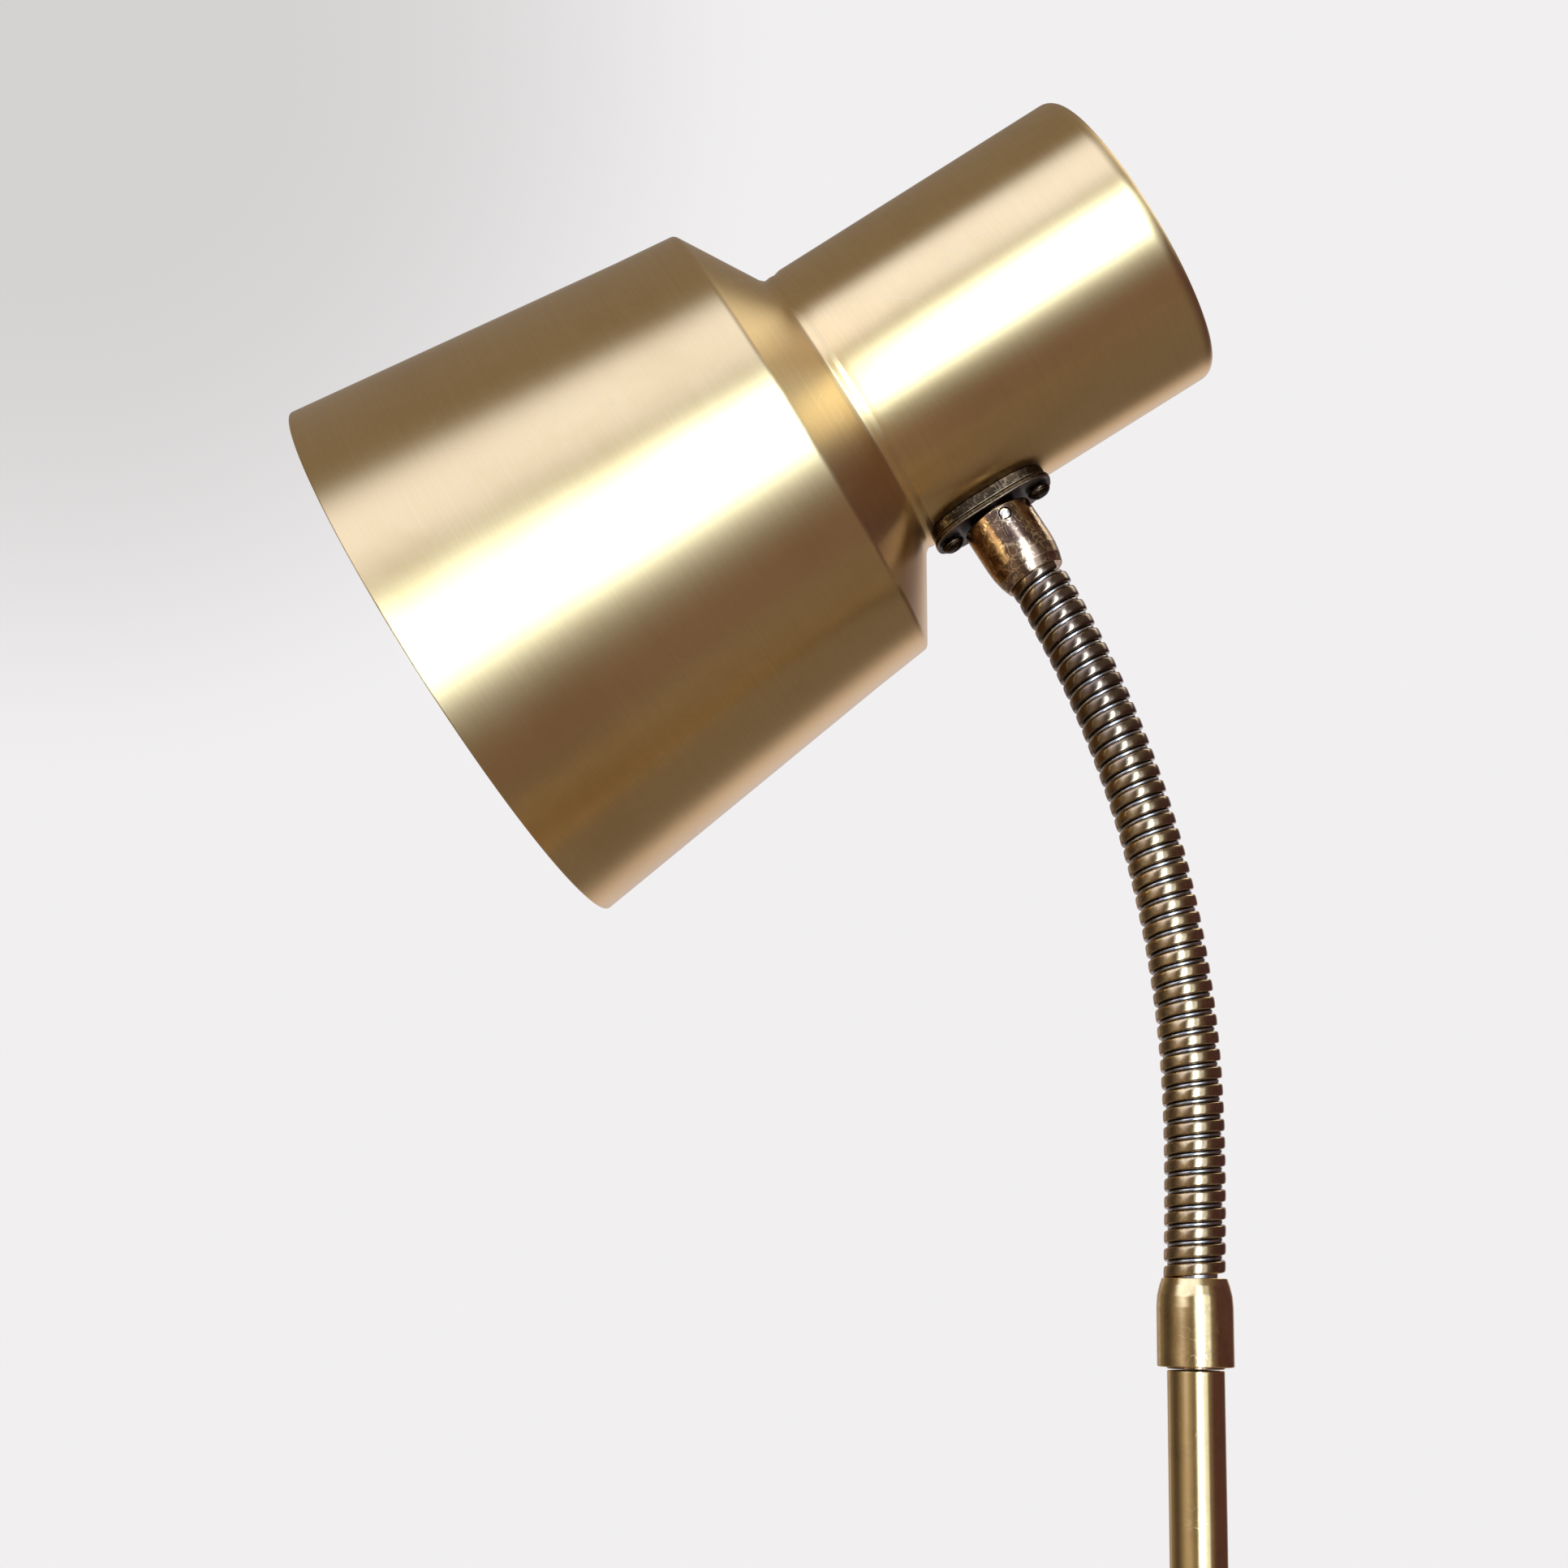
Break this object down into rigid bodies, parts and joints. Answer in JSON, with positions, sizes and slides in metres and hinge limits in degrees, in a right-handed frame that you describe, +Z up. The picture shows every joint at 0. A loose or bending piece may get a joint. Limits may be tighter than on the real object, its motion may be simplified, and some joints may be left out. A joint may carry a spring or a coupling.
{
  "type": "gooseneck desk lamp",
  "caption": "Desk lamp with a two-diameter spun brass shade on a flexible gooseneck, a straight tube stem and a weighted round base.",
  "frame": {"origin": "middle of the base's underside, on the stem's axis", "axes": "+Z up along the stem; the shade points towards -X and down; the neck leans in the XZ plane"},
  "size_m": [0.2961, 0.18, 0.495],
  "materials": {
    "satin_brass": "satin, brushed round the turning axis",
    "polished_brass": "polished",
    "aged_bronze": "antique bronze, polished on the high spots",
    "steel": "satin",
    "cast_iron": "as cast, painted",
    "felt": "felt",
    "black_plastic": "gloss",
    "bulb_glass": "frosted",
    "aluminium": "satin",
    "lead": "matte"
  },
  "bodies": {
    "base": {"felt_pad": "felt", "base_plate": "steel", "base_screw_1": "steel", "base_screw_2": "steel", "base_screw_3": "steel", "base_weight": "cast_iron", "base_shell": "satin_brass", "base_collar": "polished_brass", "nipple_washer": "steel", "nipple_nut": "steel", "stem_nipple": "steel", "stem_tube": "polished_brass", "ferrule_ring": "aged_bronze", "neck_ferrule": "polished_brass", "neck_end_lower": "aged_bronze", "switch_housing": "black_plastic", "switch_bezel": "polished_brass", "switch_spring": "steel", "cord_gland": "black_plastic", "terminal_block": "black_plastic", "lead_stem": "lead"},
    "switch": {"switch_button": "black_plastic"},
    "neck_01": {"neck_link_01": "aged_bronze"},
    "neck_02": {"neck_link_02": "aged_bronze"},
    "neck_03": {"neck_link_03": "aged_bronze"},
    "neck_04": {"neck_link_04": "aged_bronze"},
    "neck_05": {"neck_link_05": "aged_bronze"},
    "neck_06": {"neck_link_06": "aged_bronze"},
    "neck_07": {"neck_link_07": "aged_bronze"},
    "neck_08": {"neck_link_08": "aged_bronze"},
    "neck_09": {"neck_link_09": "aged_bronze"},
    "neck_10": {"neck_link_10": "aged_bronze"},
    "neck_11": {"neck_link_11": "aged_bronze"},
    "neck_12": {"neck_link_12": "aged_bronze"},
    "socket": {"neck_end_upper": "aged_bronze", "socket_cup": "aged_bronze", "socket_set_screw": "steel"},
    "head": {"shade_shell": "satin_brass", "saddle_spacer": "aged_bronze", "swivel_plate": "aged_bronze", "plate_screw_front": "aged_bronze", "plate_screw_rear": "aged_bronze", "plate_nut_front": "steel", "plate_nut_rear": "steel", "holder_bracket": "steel", "holder_nipple": "steel", "holder_nut": "steel", "lampholder_cap": "black_plastic", "lampholder_body": "black_plastic", "lampholder_ring": "black_plastic", "lampholder_contact": "satin_brass", "bulb_cap": "aluminium", "bulb_glass": "bulb_glass", "lead_head": "lead"}
  },
  "joints": [
    {"name": "switch_press", "type": "slide", "parent": "base", "child": "switch", "axis": [0, 0, -1], "range_m": [0, 0.003], "stiffness_N_per_m": 350, "springref_m": -0.002, "deforming": ["switch_spring"]},
    {"name": "neck_bend", "type": "hinge", "parent": "base", "child": "neck_01", "pos_m": [0.00015, 0, 0.23714], "axis": [0, -1, 0], "range_deg": [-14, 9]},
    {"name": "neck_sway", "type": "hinge", "parent": "neck_01", "child": "neck_02", "pos_m": [0.00039, 0, 0.24923], "axis": [0.9999, 0, -0.0121], "range_deg": [-14, 14]},
    {"name": "neck_bend_2", "type": "hinge", "parent": "neck_02", "child": "neck_03", "pos_m": [0.0004, 0, 0.26133], "axis": [0, -1, 0], "range_deg": [-14, 9]},
    {"name": "neck_sway_2", "type": "hinge", "parent": "neck_03", "child": "neck_04", "pos_m": [0.00003, 0, 0.27341], "axis": [0.9987, 0, 0.0502], "range_deg": [-14, 14]},
    {"name": "neck_bend_3", "type": "hinge", "parent": "neck_04", "child": "neck_05", "pos_m": [-0.00086, 0, 0.28547], "axis": [0, -1, 0], "range_deg": [-14, 9]},
    {"name": "neck_sway_3", "type": "hinge", "parent": "neck_05", "child": "neck_06", "pos_m": [-0.00233, 0, 0.29747], "axis": [0.9893, 0, 0.146], "range_deg": [-14, 14]},
    {"name": "neck_bend_4", "type": "hinge", "parent": "neck_06", "child": "neck_07", "pos_m": [-0.00439, 0, 0.30939], "axis": [0, -1, 0], "range_deg": [-14, 9]},
    {"name": "neck_sway_4", "type": "hinge", "parent": "neck_07", "child": "neck_08", "pos_m": [-0.00702, 0, 0.32119], "axis": [0.9704, 0, 0.2414], "range_deg": [-14, 14]},
    {"name": "neck_bend_5", "type": "hinge", "parent": "neck_08", "child": "neck_09", "pos_m": [-0.01022, 0, 0.33285], "axis": [0, -1, 0], "range_deg": [-14, 9]},
    {"name": "neck_sway_5", "type": "hinge", "parent": "neck_09", "child": "neck_10", "pos_m": [-0.01399, 0, 0.34434], "axis": [0.9424, 0, 0.3345], "range_deg": [-14, 14]},
    {"name": "neck_bend_6", "type": "hinge", "parent": "neck_10", "child": "neck_11", "pos_m": [-0.01831, 0, 0.35563], "axis": [0, -1, 0], "range_deg": [-14, 9]},
    {"name": "neck_sway_6", "type": "hinge", "parent": "neck_11", "child": "neck_12", "pos_m": [-0.02318, 0, 0.3667], "axis": [0.9054, 0, 0.4245], "range_deg": [-14, 14]},
    {"name": "neck_bend_7", "type": "hinge", "parent": "neck_12", "child": "socket", "pos_m": [-0.02857, 0, 0.37752], "axis": [0, -1, 0], "range_deg": [-14, 9]},
    {"name": "head_swivel", "type": "hinge", "parent": "socket", "child": "head", "pos_m": [-0.04147, 0, 0.39898], "axis": [-0.5265, 0, 0.8502], "range_deg": [-165, 165]}
  ],
  "couplings": [
    {"joint": "neck_bend_2", "follows": "neck_bend", "ratio": 1},
    {"joint": "neck_sway_2", "follows": "neck_sway", "ratio": 1},
    {"joint": "neck_bend_3", "follows": "neck_bend", "ratio": 1},
    {"joint": "neck_sway_3", "follows": "neck_sway", "ratio": 1},
    {"joint": "neck_bend_4", "follows": "neck_bend", "ratio": 1},
    {"joint": "neck_sway_4", "follows": "neck_sway", "ratio": 1},
    {"joint": "neck_bend_5", "follows": "neck_bend", "ratio": 1},
    {"joint": "neck_sway_5", "follows": "neck_sway", "ratio": 1},
    {"joint": "neck_bend_6", "follows": "neck_bend", "ratio": 1},
    {"joint": "neck_sway_6", "follows": "neck_sway", "ratio": 1},
    {"joint": "neck_bend_7", "follows": "neck_bend", "ratio": 1}
  ]
}
